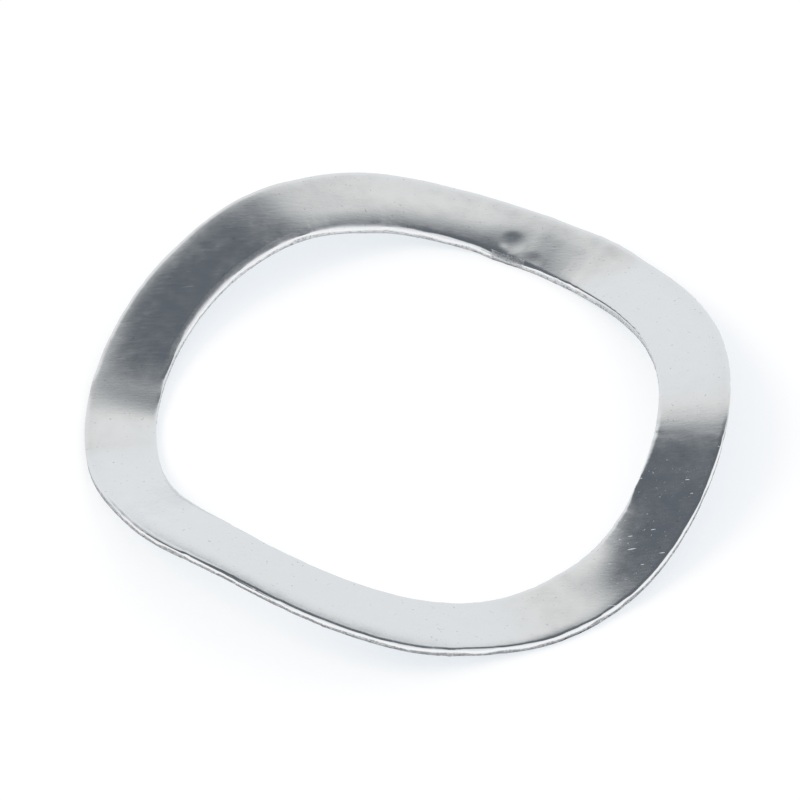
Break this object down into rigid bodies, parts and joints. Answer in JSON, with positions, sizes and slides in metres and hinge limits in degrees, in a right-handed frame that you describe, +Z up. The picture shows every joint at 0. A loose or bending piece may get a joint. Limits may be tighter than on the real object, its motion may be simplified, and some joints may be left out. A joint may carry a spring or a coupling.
{
  "type": "wave spring washer",
  "caption": "Thin ring of spring steel bent into waves round its circle, laid in a bore or round a shaft to press on the part beside it and take up end play.",
  "frame": {"origin": "on the ring's axis, in the plane that its feet rest on", "axes": "+Z up along the ring's axis, +X to the right of the picture's view and +Y away from it"},
  "size_m": [0.0256, 0.0256, 0.0034],
  "materials": {
    "spring_steel": "bright rolled sheet with a low-gloss cut edge"
  },
  "bodies": {
    "root": {"wave_washer": "spring_steel"}
  },
  "joints": []
}
